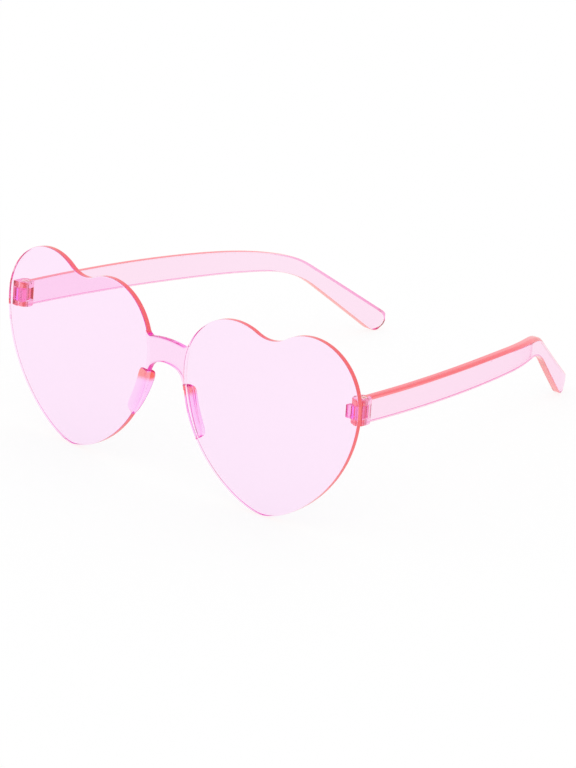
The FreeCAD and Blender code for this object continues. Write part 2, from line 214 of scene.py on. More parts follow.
class TempleSettings(bpy.types.PropertyGroup):
    """Sizes of the temples"""

    thickness: length("Thickness", "Thickness of the arm", 2.8)
    crown_round: length("Crown rounding", "Radius along the outer top edge", 1.3)
    edge_round: length("Edge rounding", "Radius along the other edges", 0.3)
    bar_fall: angle("Bar fall", "Fall of the bar's lower edge", 0.5)
    bend_reach: length("Bend reach", "Distance from the hinge to the bend", 102.7)
    bend_radius: length("Bend radius", "Radius of the lower edge at the bend", 25.7)
    hook_fall: angle("Hook fall", "Fall of the hook", 39.8)
    hook_length: length("Hook length", "Length of the hook", 33.7)
    hook_neck: length("Hook neck", "Height of the hook at its neck", 4.8)
    neck_reach: length("Neck reach", "Distance of the neck behind the bend", 4.2)
    tip_radius: length("Tip radius", "Radius of the round tip", 3.7)
    crown_start: length("Crown start", "Level length of the top edge", 26.3)
    crown_fullness: length("Crown fullness", "How far the crown runs level", 73.0)
    crown_end_fullness: length("Crown end fullness", "How far the crown runs along the hook", 8.0)
    bar_bow_radius: length("Bar bow radius", "Radius of the inward bow of the bar", 335.0)
    bar_bow_length: length("Bar bow length", "Length of that bow", 77.0)
    ear_bow_radius: length("Ear bow radius", "Radius of the inward bow at the ear", 84.0)
    toe_in: angle("Toe in", "Inward turn behind the ear", 26.0)
    hook_flare_radius: length("Hook flare radius", "Radius of the outward turn of the hook", 600.0)


class PlasticSettings(bpy.types.PropertyGroup):
    """Colours of the clear plastic. Absorption is per metre and gives the plastic its own pink; every
    tint but Clear is painted light, the glow and deeper colour of light carried through the plastic. The
    last number of a tint is its clarity
    """

    front_absorption: absorption("Front absorption", "Light lost in the front", 2.0, 88.0, 10.0)
    temple_absorption: absorption("Temple absorption", "Light lost in the temples", 4.0, 86.0, 34.0)
    clear: tint("Clear", "Faces of the plastic", 1.0, 1.0, 1.0, 1.0)
    # Painted glow: salmon-red light carried to the hearts' side edges
    rim: tint("Rim", "Edges of the hearts", 0.96, 0.21, 0.13, 0.4)
    # Painted deeper colour on the bridge band's faces, and painted glow on its edges
    bridge: tint("Bridge", "Faces of the bridge", 1.0, 0.91, 0.955, 1.0)
    band: tint("Band", "Edges of the bridge", 1.0, 0.62, 0.85, 1.0)
    # Painted deeper colour in the nose pads, and painted orange glow at their ends and at the bridge's
    # corners
    pad: tint("Pad", "Middle of the nose pads", 1.0, 0.68, 0.96, 1.0)
    pad_end_glow: tint("Pad end", "Ends of the nose pads and corners of the bridge", 1.0, 0.16, 0.1, 1.0)
    # Painted deeper colour in the thick hinge tongues
    lug: tint("Lug", "Hinge tongues", 1.0, 0.42, 0.66, 1.0)
    # Painted deeper colour in the hinge forks, and painted salmon-red glow on their front faces
    fork: tint("Fork", "Hinge forks", 1.0, 0.72, 0.84, 1.0)
    stop: tint("Stop", "Front faces of the forks, which meet the lens", 1.0, 0.25, 0.15, 1.0)
    # Painted glow on the temples' top edges, lower edges and hook fronts
    crown: tint("Crown", "Outer top edge of the temples", 1.0, 0.21, 0.21, 0.3)
    underside_glow: tint("Underside", "Lower edge of the bars", 1.0, 0.6, 0.58, 0.6)
    hook: tint("Hook", "Front edge of the ear hooks", 1.0, 0.3, 0.27, 0.3)


class StageSettings(bpy.types.PropertyGroup):
    """Camera and light"""

    azimuth: angle("Azimuth", "Turn of the camera to the wearer's left", 43.61)
    elevation: angle("Elevation", "Height of the camera over the horizon", 21.73)
    distance: length("Distance", "Camera to subject", 1478.0)
    side: length("Side step", "Camera's step to the right", 38.36)
    rise: length("Rise", "Camera's step up", 29.25)
    lens: FloatProperty(
        name="Focal length", description="Focal length of the camera",
        default=PHOTO_FOCAL / PHOTO_HEIGHT * SENSOR,
    )


class SunglassesSettings(bpy.types.PropertyGroup):
    """All sizes and colours"""

    heart: PointerProperty(type=HeartLensSettings)
    bridge: PointerProperty(type=BridgeSettings)
    pad: PointerProperty(type=NosePadSettings)
    hinge: PointerProperty(type=HingeSettings)
    temple: PointerProperty(type=TempleSettings)
    plastic: PointerProperty(type=PlasticSettings)
    stage: PointerProperty(type=StageSettings)


def settings():
    return bpy.context.scene.sunglasses


def bezier_points(*poles):
    points = []
    for step in range(CURVE_STEPS + 1):
        level = list(poles)
        while len(level) > 1:
            level = [low.lerp(high, step / CURVE_STEPS) for low, high in zip(level, level[1:])]
        points.append(level[0])
    return points


def arc_points(centre, radius, first, last):
    turns = [first + (last - first) * step / CURVE_STEPS for step in range(CURVE_STEPS + 1)]
    return [centre + Vector((math.cos(turn), math.sin(turn))) * radius for turn in turns]


def even_points(path, spacing):
    """Points at an even spacing along a path, both ends kept."""
    runs = [0.0]
    for low, high in zip(path, path[1:]):
        runs.append(runs[-1] + (high - low).length)
    count = max(2, round(runs[-1] / spacing))
    points = []
    index = 0
    for step in range(count + 1):
        target = runs[-1] * step / count
        while index < len(path) - 2 and runs[index + 1] < target:
            index += 1
        share = (target - runs[index]) / max(runs[index + 1] - runs[index], LEAST_LENGTH)
        points.append(path[index].lerp(path[index + 1], share))
    return points


def closed_path(path, spacing):
    return even_points(list(path) + [path[0]], spacing)[:-1]


def softened(corners, radius):
    """A closed outline of straight runs with every corner rounded off."""
    path = []
    for index, corner in enumerate(corners):
        before = corners[index - 1] - corner
        after = corners[(index + 1) % len(corners)] - corner
        path += bezier_points(
            corner + before.normalized() * min(radius, before.length / 2), corner,
            corner + after.normalized() * min(radius, after.length / 2),
        )
    return path


def outward_normals(path):
    normals = []
    for index in range(len(path)):
        run = path[(index + 1) % len(path)] - path[index - 1]
        normals.append(Vector((run.y, -run.x)).normalized())
    return normals


def rounded_profile(thickness, front_round, back_round):
    """Inset and depth of a plate's rounded edge, from its front face to its back face."""
    turns = [math.pi / 2 * step / ROUND_STEPS for step in range(ROUND_STEPS + 1)]
    front = [(front_round * (1 - math.sin(turn)), front_round * (1 - math.cos(turn))) for turn in turns]
    back = []
    for turn in turns:
        back.append((back_round * (1 - math.cos(turn)), thickness - back_round * (1 - math.sin(turn))))
    return front + back


def plate(path, profiles, face_zone, edge_zone):
    """A closed plate: an outline in X and Z, carried along Y with an edge profile at each point."""
    mesh = bmesh.new()
    rows = []
    normals = outward_normals(path)
    for level in range(len(profiles[0])):
        row = []
        for point, normal, profile in zip(path, normals, profiles):
            inset, depth = profile[level]
            place = point - normal * inset
            row.append(mesh.verts.new((place.x, depth, place.y)))
        rows.append(row)
    for cap in (rows[0], rows[-1][::-1]):
        mesh.faces.new(cap).material_index = face_zone
    for low, high in zip(rows, rows[1:]):
        for index in range(len(path)):
            after = (index + 1) % len(path)
            face = mesh.faces.new((low[index], high[index], high[after], low[after]))
            face.material_index = edge_zone
    return mesh


def upright(path, low, high, edge_round, zone):
    """A plate that stands on an outline in X and Y."""
    profile = rounded_profile(high - low, edge_round, edge_round)
    mesh = plate(path, [profile] * len(path), zone, zone)
    for vertex in mesh.verts:
        vertex.co = (vertex.co.x, vertex.co.z, low + vertex.co.y)
    return mesh


def turned(centre, steps):
    """A closed solid of revolution about an upright axis, from a list of radius and height."""
    mesh = bmesh.new()
    rows = []
    for radius, height in steps:
        row = []
        for index in range(CIRCLE_STEPS):
            turn = 2 * math.pi * index / CIRCLE_STEPS
            side = Vector((math.cos(turn), math.sin(turn), 0)) * radius
            row.append(mesh.verts.new((centre.x + side.x, centre.y + side.y, height)))
        rows.append(row)
    mesh.faces.new(rows[0][::-1])
    mesh.faces.new(rows[-1])
    for low, high in zip(rows, rows[1:]):
        for index in range(CIRCLE_STEPS):
            after = (index + 1) % CIRCLE_STEPS
            mesh.faces.new((low[index], low[after], high[after], high[index]))
    return mesh


def solid(name, mesh, material):
    """An object from a closed mesh, with a slot for every zone so that zones outlive the joining."""
    bmesh.ops.recalc_face_normals(mesh, faces=mesh.faces)
    data = bpy.data.meshes.new(name)
    mesh.to_mesh(data)
    mesh.free()
    for _ in range(ZONE_COUNT):
        data.materials.append(material)
    piece = bpy.data.objects.new(name, data)
    bpy.context.scene.collection.objects.link(piece)
    return piece


def joined(piece, other, operation):
    """Joins or cuts one solid with another, which is then removed."""
    modifier = piece.modifiers.new(operation, "BOOLEAN")
    modifier.operation = operation
    modifier.solver = "EXACT"
    modifier.object = other
    graph = bpy.context.evaluated_depsgraph_get()
    data = bpy.data.meshes.new_from_object(piece.evaluated_get(graph))
    piece.modifiers.clear()
    spent = [piece.data, other.data]
    piece.data = data
    bpy.data.objects.remove(other)
    for mesh in spent:
        bpy.data.meshes.remove(mesh)
    if not data.polygons:
        raise RuntimeError("joining left nothing of " + piece.name)
    return piece


def mirrored(piece, name):
    """A copy of a piece on the wearer's other side."""
    data = piece.data.copy()
    data.transform(Matrix.Scale(-1, 4, (1, 0, 0)))
    data.flip_normals()
    data.name = name
    other = bpy.data.objects.new(name, data)
    bpy.context.scene.collection.objects.link(other)
    return other


def lens_matrix():
    heart = settings().heart
    return Matrix.Translation((heart.tip_spacing / 2, 0, 0)) @ Matrix.Rotation(heart.wrap, 4, "Z")


def hinge_point():
    """Middle of the left hinge axis in the upright design frame."""
    heart = settings().heart
    hinge = settings().hinge
    edge = heart.outer_lobe_offset + heart.outer_lobe_radius
    back = lens_matrix() @ Vector((edge - hinge.inset, heart.thickness, 0))
    return Vector((back.x, back.y + hinge.setback, heart.outer_lobe_height - hinge.drop))


def standing_matrix():
    """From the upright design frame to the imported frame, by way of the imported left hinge."""
    joint = next(entry for entry in frame["joints"] if entry["name"] == "left_temple_fold")
    axis = Vector(joint["axis"])
    lean = Matrix.Rotation(-math.atan2(axis.y, axis.z), 4, "X")
    return Matrix.Translation(Vector(joint["pos_m"]) - lean @ hinge_point()) @ lean


def heart_path():
    """Heart outline in the lens's own frame, from the tip up the outer side and back."""
    heart = settings().heart
    outer = Vector((heart.outer_lobe_offset, heart.outer_lobe_height))
    inner = Vector((-heart.inner_lobe_offset, heart.inner_lobe_height))
    span = inner - outer
    to_outer = heart.outer_lobe_radius + heart.cleft_radius
    to_inner = heart.inner_lobe_radius + heart.cleft_radius
    foot = (to_outer ** 2 - to_inner ** 2 + span.length ** 2) / (2 * span.length)
    along = span.normalized()
    cleft = outer + along * foot + Vector((along.y, -along.x)) * math.sqrt(to_outer ** 2 - foot ** 2)
    outer_turn = math.atan2(cleft.y - outer.y, cleft.x - outer.x)
    inner_turn = math.atan2(cleft.y - inner.y, cleft.x - inner.x)
    path = outer_side(heart, outer)
    path += arc_points(outer, heart.outer_lobe_radius, 0, outer_turn)[1:]
    path += arc_points(cleft, heart.cleft_radius, outer_turn - math.pi, inner_turn - math.pi)[1:]
    path += arc_points(inner, heart.inner_lobe_radius, inner_turn, math.pi)[1:]
    path += inner_side()[1:]
    return even_points(path, OUTLINE_SPACING)[:-1]


def outer_side(heart, outer):
    end = outer + Vector((heart.outer_lobe_radius, 0))
    return bezier_points(
        Vector((0, 0)), Vector((heart.tip_fullness, 0)),
        end - Vector((0, heart.outer_side_fullness)), end,
    )


def inner_side():
    """Inner side of the heart from the lobe's widest point down to the tip."""
    heart = settings().heart
    start = Vector((-heart.inner_lobe_offset - heart.inner_lobe_radius, heart.inner_lobe_height))
    return bezier_points(
        start, start - Vector((0, heart.inner_side_fullness)),
        Vector((-heart.tip_fullness, 0)), Vector((0, 0)),
    )


def heart_lens(material):
    heart = settings().heart
    path = heart_path()
    profile = rounded_profile(heart.thickness, heart.edge_round, heart.edge_round)
    mesh = plate(path, [profile] * len(path), LENS_FACE, LENS_RIM)
    mesh.transform(lens_matrix())
    return solid("heart_lens", mesh, material)


def bridge_height(rise, sag, reach, across):
    """Height of an arch of the given sag over the level of its top."""
    radius = (reach ** 2 + sag ** 2) / (2 * sag)
    return rise - radius + math.sqrt(radius ** 2 - across ** 2)


def first_beyond(rim, indices, start, distance):
    """First of the given places along the rim that lies farther than a distance from the start."""
    return next(index for index in indices if (rim[index] - rim[start]).length > distance)


def bridge_half(rim, bridge, reach, crest, arch):
    """Half of the bridge outline: along the arch, into the rim, up inside it and back along the crest."""
    def crest_at(across):
        return bridge_height(crest, bridge.crest_sag, reach, across)

    def arch_at(across):
        return bridge_height(arch, bridge.arch_sag, reach, across)

    upper = next(index for index, point in enumerate(rim) if point.y < crest_at(min(point.x, reach)))
    lower = next(index for index, point in enumerate(rim) if point.y < arch_at(min(point.x, reach)))
    above = first_beyond(rim, range(upper, -1, -1), upper, bridge.crest_fillet)
    below = first_beyond(rim, range(lower, len(rim)), lower, bridge.arch_fillet)
    inside = Vector((SINK, 0))
    arch_end = rim[lower].x - bridge.arch_fillet * ARCH_END_SHARE
    crest_end = rim[upper].x - bridge.crest_fillet
    arch_run = [Vector((arch_end * step / CURVE_STEPS, arch_at(arch_end * step / CURVE_STEPS)))
                for step in range(CURVE_STEPS + 1)]
    crest_run = [Vector((crest_end * step / CURVE_STEPS, crest_at(crest_end * step / CURVE_STEPS)))
                 for step in range(CURVE_STEPS, -1, -1)]
    arch_hollow = bezier_points(arch_run[-1], rim[lower], rim[below] + inside * HOLLOW_SINK_SHARE)
    crest_hollow = bezier_points(rim[above] + inside * HOLLOW_SINK_SHARE, rim[upper], crest_run[0])
    seam = [point + inside for point in rim[below:above:-1]]
    return arch_run + arch_hollow[1:] + seam + crest_hollow + crest_run[1:]


def bridge_roundings(path, rim, bridge):
    """Edge radius along the bridge outline, which fades out where the band runs into a rim."""
    roundings = []
    for point in path:
        away = min((Vector((abs(point.x), point.y)) - other).length for other in rim)
        within = any(abs(point.x) > other.x and abs(point.y - other.y) < FINE_SPACING for other in rim)
        share = 0.0 if within else smooth_step(*BRIDGE_ROUND_FADE, away / bridge.crest_fillet)
        roundings.append(bridge.edge_round * share)
    return roundings


def bridge_band(material):
    heart = settings().heart
    bridge = settings().bridge
    place = lens_matrix()
    edge = place @ Vector((-heart.inner_lobe_offset - heart.inner_lobe_radius, heart.thickness / 2, 0))
    reach = edge.x + bridge.overlap
    crest = heart.inner_lobe_height + bridge.crest_rise
    arch = heart.inner_lobe_height - bridge.arch_drop
    inner_lobe = Vector((-heart.inner_lobe_offset, heart.inner_lobe_height))
    flat_rim = arc_points(inner_lobe, heart.inner_lobe_radius, RIM_START, math.pi)
    flat_rim += inner_side()[1:]
    placed = [place @ Vector((point.x, heart.thickness / 2, point.y)) for point in flat_rim]
    rim = even_points([Vector((point.x, point.z)) for point in placed], FINE_SPACING)
    half = bridge_half(rim, bridge, reach, crest, arch)
    other = [Vector((-point.x, point.y)) for point in half[::-1]]
    path = closed_path(half + other[1:-1], FINE_SPACING)
    roundings = bridge_roundings(path, rim, bridge)
    profiles = [rounded_profile(bridge.thickness, radius, radius) for radius in roundings]
    mesh = plate(path, profiles, BRIDGE_FACE, BRIDGE_EDGE)
    mesh.transform(Matrix.Translation((0, edge.y - bridge.thickness / 2, 0)))
    return solid("bridge_band", mesh, material)


# Share of the pad's length, of its depth and of its width at the stations along it
PAD_STATIONS = (
    (0.0, 0.1, 0.6), (0.03, 0.6, 0.85), (0.1, 0.95, 1.0), (0.25, 1.0, 1.0), (0.5, 1.0, 1.0),
    (0.75, 1.0, 1.0), (0.9, 0.9, 0.95), (0.97, 0.5, 0.8), (1.0, 0.1, 0.6),
)


# Points of the pad's section from the rim inward: shares of its lean, width and flare, and of its depth
PAD_SECTION = (
    (0.4, 0.0, 0.0, 0.45), (1.0, 0.0, 0.0, 1.06), (1.0, 0.35, 0.0, 1.1), (0.0, 0.75, 0.0, 0.75),
    (0.0, 1.0, 0.0, 0.35), (0.0, 0.0, 1.0, 0.05),
)


def pad_section(pad, share, depth_share, width_share):
    """Section of a pad as distance from the rim and depth behind the lens."""
    depth = (pad.top_depth + (pad.foot_depth - pad.top_depth) * share) * depth_share
    width = pad.width * width_share
    flare = width + pad.flare * width_share
    lean = -pad.overhang * (1 - share) * depth_share
    section = [(0, -SINK)]
    for lean_part, width_part, flare_part, depth_part in PAD_SECTION:
        section.append((lean * lean_part + width * width_part + flare * flare_part, depth * depth_part))
    section.append((flare, -SINK))
    return section


def nose_pad(material):
    """A soft rib along the inner side of the heart, grown out of its back."""
    heart = settings().heart
    pad = settings().pad
    top = heart.inner_lobe_height - pad.top_drop
    side = even_points(inner_side(), FINE_SPACING)
    run = [point for point in side if top - pad.reach <= point.y <= top]
    mesh = bmesh.new()
    rows = []
    for share, depth_share, width_share in PAD_STATIONS:
        index = min(round(share * (len(run) - 1)), len(run) - 2)
        along = (run[index + 1] - run[index]).normalized()
        inward = Vector((-along.y, along.x))
        row = []
        for inset, depth in pad_section(pad, share, depth_share, width_share):
            place = run[index] + inward * (inset + heart.edge_round)
            row.append(mesh.verts.new((place.x, heart.thickness + depth, place.y)))
        rows.append(row)
    mesh.faces.new(rows[0])
    mesh.faces.new(rows[-1][::-1])
    for low, high in zip(rows, rows[1:]):
        for index in range(len(low)):
            after = (index + 1) % len(low)
            mesh.faces.new((low[index], high[index], high[after], low[after]))
    for face in mesh.faces:
        face.material_index = NOSE_PAD
    mesh.transform(lens_matrix())
    piece = solid("nose_pad", mesh, material)
    rounding = piece.modifiers.new("rounding", "SUBSURF")
    rounding.levels = PAD_SMOOTHING
    graph = bpy.context.evaluated_depsgraph_get()
    data = bpy.data.meshes.new_from_object(piece.evaluated_get(graph))
    piece.modifiers.clear()
    piece.data = data
    return piece


def hinge_lug(material):
    hinge = settings().hinge
    point = hinge_point()
    centre = Vector((point.x, point.y))
    radius = hinge.tongue_radius
    front = -hinge.setback - SINK
    knuckle = [centre + offset for offset in arc_points(Vector((0, 0)), radius, 0, math.pi)]
    base = -radius - hinge.tongue_base
    shoulder = -hinge.setback / 2
    corners = ((-radius, shoulder), (base, shoulder), (base, front), (radius, front))
    stem = [centre + Vector(corner) for corner in corners]
    outline = softened([knuckle[0], knuckle[-1]] + stem, 2 * hinge.edge_round)
    path = closed_path(knuckle + outline[2 * (CURVE_STEPS + 1):], FINE_SPACING)
    half = hinge.tongue_height / 2
    tongue = upright(path, point.z - half, point.z + half, hinge.edge_round, HINGE_LUG)
    lug = solid("hinge_lug", tongue, material)
    bore = hinge.screw_radius + 2 * hinge.screw_room
    cutter = turned(centre, ((bore, point.z - hinge.height), (bore, point.z + hinge.height)))
    return joined(lug, solid("bore", cutter, material), "DIFFERENCE")


def falling(turn):
    """Directions along and across a side view line that falls to the back."""
    return Vector((math.cos(turn), -math.sin(turn))), Vector((math.sin(turn), math.cos(turn)))


def temple_path():
    """Side view of the temple in Y and Z, from the foot of the hinge along the lower edge and back."""
    temple = settings().temple
    hinge = settings().hinge
    point = hinge_point()
    foot = Vector((point.y, point.z - hinge.height / 2))
    top = Vector((point.y, point.z + hinge.height / 2))
    bar_along, bar_across = falling(temple.bar_fall)
    hook_along, hook_across = falling(temple.hook_fall)
    corner = foot + bar_along * temple.bend_reach
    half_turn = (temple.hook_fall - temple.bar_fall) / 2
    lead = temple.bend_radius * math.tan(half_turn)
    bend_centre = corner - bar_along * lead - bar_across * temple.bend_radius
    tip = corner + hook_along * temple.hook_length + hook_across * temple.tip_radius
    neck = corner + hook_across * temple.hook_neck + hook_along * temple.neck_reach
    to_tip = tip - neck
    heading = math.atan2(-to_tip.y, to_tip.x) - math.asin(temple.tip_radius / to_tip.length)
    neck_along = falling(heading)[0]
    crown_start = top + Vector((temple.crown_start, 0))
    path = [foot]
    quarter = math.pi / 2
    path += arc_points(
        bend_centre, temple.bend_radius, quarter - temple.bar_fall, quarter - temple.hook_fall,
    )
    path += arc_points(tip, temple.tip_radius, -quarter - temple.hook_fall, quarter - heading)
    path += bezier_points(
        neck, neck - neck_along * temple.crown_end_fullness,
        crown_start + Vector((temple.crown_fullness, 0)), crown_start,
    )
    path.append(top)
    return closed_path(path, OUTLINE_SPACING)


def bow(distance):
    """Inward shift and heading of the temple at a distance behind the hinge."""
    temple = settings().temple
    first = math.asin(temple.bar_bow_length / temple.bar_bow_radius)
    ear = temple.bar_bow_radius * (1 - math.cos(first))
    turn_length = temple.ear_bow_radius * (math.sin(temple.toe_in) - math.sin(first))
    hook = ear + temple.ear_bow_radius * (math.cos(first) - math.cos(temple.toe_in))
    if distance <= 0:
        return 0.0, 0.0
    if distance <= temple.bar_bow_length:
        heading = math.asin(distance / temple.bar_bow_radius)
        return temple.bar_bow_radius * (1 - math.cos(heading)), heading
    beyond = distance - temple.bar_bow_length
    if beyond <= turn_length:
        heading = math.asin(math.sin(first) + beyond / temple.ear_bow_radius)
        return ear + temple.ear_bow_radius * (math.cos(first) - math.cos(heading)), heading
    flared = math.sin(temple.toe_in) - (beyond - turn_length) / temple.hook_flare_radius
    heading = math.asin(flared)
    return hook + temple.hook_flare_radius * (math.cos(heading) - math.cos(temple.toe_in)), heading


def smooth_step(low, high, value):
    share = min(max((value - low) / (high - low), 0.0), 1.0)
    return share * share * (3 - 2 * share)


def temple_arm(material):
    """The arm: a plate with a full outer top edge and a round end, bowed inward along its length."""
    temple = settings().temple
    point = hinge_point()
    path = temple_path()
    profiles = []
    for place, normal in zip(path, outward_normals(path)):
        clear = smooth_step(*HINGE_END_FADE, (place.x - point.y) / temple.crown_round)
        crown = smooth_step(*CROWN_ROUND_TURN, normal.y)
        end = smooth_step(*HOOK_END_TURN, normal.x) * (1 - smooth_step(*HOOK_END_TOP, normal.y))
        outer = temple.edge_round + (temple.crown_round - temple.edge_round) * max(crown, end)
        inner = temple.edge_round + (temple.crown_round - temple.edge_round) * end
        profiles.append(rounded_profile(temple.thickness, outer * clear, inner * clear))
    mesh = plate(path, profiles, TEMPLE_SIDE, TEMPLE_EDGE)
    for vertex in mesh.verts:
        vertex.co = (temple.thickness / 2 - vertex.co.y, vertex.co.x, vertex.co.z)
    end = max(vertex.co.y for vertex in mesh.verts)
    cut = point.y + BOW_CUT
    while cut < end:
        parts = mesh.verts[:] + mesh.edges[:] + mesh.faces[:]
        bmesh.ops.bisect_plane(
            mesh, geom=parts, plane_co=(0, cut, 0), plane_no=(0, 1, 0), dist=CUT_TOLERANCE,
        )
        cut += BOW_CUT
    for vertex in mesh.verts:
        inward, heading = bow(vertex.co.y - point.y)
        vertex.co.x = point.x - inward + vertex.co.x / math.cos(heading)
    return solid("temple_arm", mesh, material)


def temple_with_fork(material):
    hinge = settings().hinge
    heart = settings().heart
    point = hinge_point()
    centre = Vector((point.x, point.y))
    foot = point.z - hinge.height / 2
    top = point.z + hinge.height / 2
    slot_radius = hinge.tongue_radius + hinge.swing_clearance
    fork_radius = slot_radius + hinge.fork_wall
    slope = math.tan(heart.wrap)
    front = -hinge.setback + hinge.stop_clearance / math.cos(heart.wrap)
    around = closed_path(arc_points(centre, fork_radius, 0, 2 * math.pi)[:-1], FINE_SPACING)
    barrel = solid("barrel", upright(around, foot, top, hinge.edge_round, FORK), material)
    corners = ((0, 0), (0, front), (fork_radius, front + fork_radius * slope), (fork_radius, 0))
    block = softened([centre + Vector(corner) for corner in corners], 2 * hinge.edge_round)
    block = closed_path(block, FINE_SPACING)
    heel = solid("heel", upright(block, foot, top, hinge.edge_round, FORK), material)
    temple = joined(temple_arm(material), barrel, "UNION")
    temple = joined(temple, heel, "UNION")
    far = 3 * hinge.setback
    slot = [Vector((slot_radius, -far))] + arc_points(Vector((0, 0)), slot_radius, 0, math.pi / 2)
    slot += [Vector((-far, slot_radius)), Vector((-far, -far))]
    room = hinge.tongue_height / 2 + hinge.slot_clearance
    path = closed_path([centre + corner for corner in slot], FINE_SPACING)
    gap = solid("gap", upright(path, point.z - room, point.z + room, hinge.screw_room, FORK), material)
    temple = joined(temple, gap, "DIFFERENCE")
    bore = hinge.screw_radius + hinge.screw_room
    sink = hinge.head_radius + hinge.head_room
    seat = top - hinge.head_height - hinge.screw_room
    steps = ((bore, foot - SINK), (bore, seat), (sink, seat), (sink, top + SINK))
    return joined(temple, solid("bore", turned(centre, steps), material), "DIFFERENCE")


# Noise scale and detail, least and most roughness, and strength and depth of the ripple
PLASTIC_GLOSS = (90.0, 4.0, 0.0, 0.04, 0.02, 0.1 * MM)
STEEL_GLOSS = (4000.0, 2.0, 0.2, 0.4, 0.1, 0.02 * MM)


def uneven_gloss(tree, shader, gloss):
    """Lets roughness and a faint ripple of the surface vary with one noise."""
    scale, detail, least, most, strength, depth = gloss
    place = tree.nodes.new("ShaderNodeTexCoord")
    noise = tree.nodes.new("ShaderNodeTexNoise")
    noise.inputs["Scale"].default_value = scale
    noise.inputs["Detail"].default_value = detail
    tree.links.new(place.outputs["Object"], noise.inputs["Vector"])
    polish = tree.nodes.new("ShaderNodeMapRange")
    polish.inputs["To Min"].default_value = least
    polish.inputs["To Max"].default_value = most
    tree.links.new(noise.outputs["Fac"], polish.inputs["Value"])
    tree.links.new(polish.outputs["Result"], shader.inputs["Roughness"])
    ripple = tree.nodes.new("ShaderNodeBump")
    ripple.inputs["Strength"].default_value = strength
    ripple.inputs["Distance"].default_value = depth
    tree.links.new(noise.outputs["Fac"], ripple.inputs["Height"])
    tree.links.new(ripple.outputs["Normal"], shader.inputs["Normal"])


def clear_plastic(name, lost):
    """Clear tinted plastic: its own colour by depth inside, and on each zone of the surface a painted
    tint of its own, the glow and deeper colour of light carried through the plastic.
    """
    material = bpy.data.materials.new(name)
    material.use_nodes = True
    tree = material.node_tree
    shader = tree.nodes["Principled BSDF"]
    shader.inputs["IOR"].default_value = PLASTIC_IOR
    zone = tree.nodes.new("ShaderNodeAttribute")
    zone.attribute_name = "tint"
    painted_light_tint(tree, zone, shader)
    uneven_gloss(tree, shader, PLASTIC_GLOSS)
    depth = tree.nodes.new("ShaderNodeVolumeAbsorption")
    density = max(lost) / DEEPEST_SHARE
    depth.inputs["Color"].default_value = [1 - share / density for share in lost] + [1.0]
    depth.inputs["Density"].default_value = density
    tree.links.new(depth.outputs["Volume"], tree.nodes["Material Output"].inputs["Volume"])
    return material


def painted_light_tint(tree, zone, shader):
    """Links a zone's painted light tint and clarity to the shader; where the painted glow is on the
    outside only, the surface is clear when met from inside.
    """
    outside_glow = tree.nodes.new("ShaderNodeAttribute")
    outside_glow.attribute_name = "outside_glow"
    side = tree.nodes.new("ShaderNodeNewGeometry")
    within = tree.nodes.new("ShaderNodeMath")
    within.operation = "MULTIPLY"
    tree.links.new(outside_glow.outputs["Fac"], within.inputs[0])
    tree.links.new(side.outputs["Backfacing"], within.inputs[1])
    colour = tree.nodes.new("ShaderNodeMixRGB")
    colour.inputs["Color2"].default_value = (1.0, 1.0, 1.0, 1.0)
    clarity = tree.nodes.new("ShaderNodeMath")
    clarity.operation = "MAXIMUM"
    tree.links.new(within.outputs["Value"], colour.inputs["Fac"])
    tree.links.new(zone.outputs["Color"], colour.inputs["Color1"])
    tree.links.new(colour.outputs["Color"], shader.inputs["Base Color"])
    tree.links.new(zone.outputs["Alpha"], clarity.inputs[0])
    tree.links.new(within.outputs["Value"], clarity.inputs[1])
    tree.links.new(clarity.outputs["Value"], shader.inputs["Transmission Weight"])


def screw_steel():
    material = bpy.data.materials.new("screw_steel")
    material.use_nodes = True
    tree = material.node_tree
    shader = tree.nodes["Principled BSDF"]
    shader.inputs["Base Color"].default_value = (0.95, 0.6, 0.6, 1.0)
    shader.inputs["Metallic"].default_value = 1.0
    uneven_gloss(tree, shader, STEEL_GLOSS)
    return material


def mixed(first, second, share):
    return [low + (high - low) * share for low, high in zip(first, second)]


def front_painted_light(zone, place, normal):
    """Painted light tint of a place on the front in the upright design frame: glow and deeper colour of
    light carried through the plastic, clear on the lens faces.
    """
    plastic = settings().plastic
    pad = settings().pad
    heart = settings().heart
    share = (heart.inner_lobe_height - pad.top_drop - place.z) / pad.reach
    # Painted glow: salmon-red on the hearts' side edges, clear beside the nose pads and on the roundings
    # that face front and back
    if zone == LENS_RIM:
        beside_pad = abs(place.x) < heart.tip_spacing / 2 and 0 < share < BESIDE_PAD_END
        clear = 1.0 if beside_pad else smooth_step(*RIM_GLOW_TURN, abs(normal.y))
        return mixed(plastic.rim, plastic.clear, clear)
    # Painted deeper colour on the bridge's faces; painted glow on its edges, orange where they face up
    # and sideways into the rims
    if zone == BRIDGE_FACE:
        return plastic.bridge
    if zone == BRIDGE_EDGE:
        corner = smooth_step(*BRIDGE_CORNER_GLOW_TURN, abs(normal.x)) if normal.z > 0 else 0.0
        return mixed(plastic.band, plastic.pad_end_glow, corner)
    # Painted deeper colour, hot pink, on the hinge tongues
    if zone == HINGE_LUG:
        return plastic.lug
    # Painted deeper colour along the nose pads, with painted orange glow at the top and a weaker one at
    # the foot
    if zone == NOSE_PAD:
        top = 1 - smooth_step(*PAD_TOP_GLOW_FADE, share)
        foot = PAD_FOOT_GLOW_STRENGTH * smooth_step(*PAD_FOOT_GLOW_FADE, share)
        return mixed(plastic.pad, plastic.pad_end_glow, max(top, foot))
    return plastic.clear


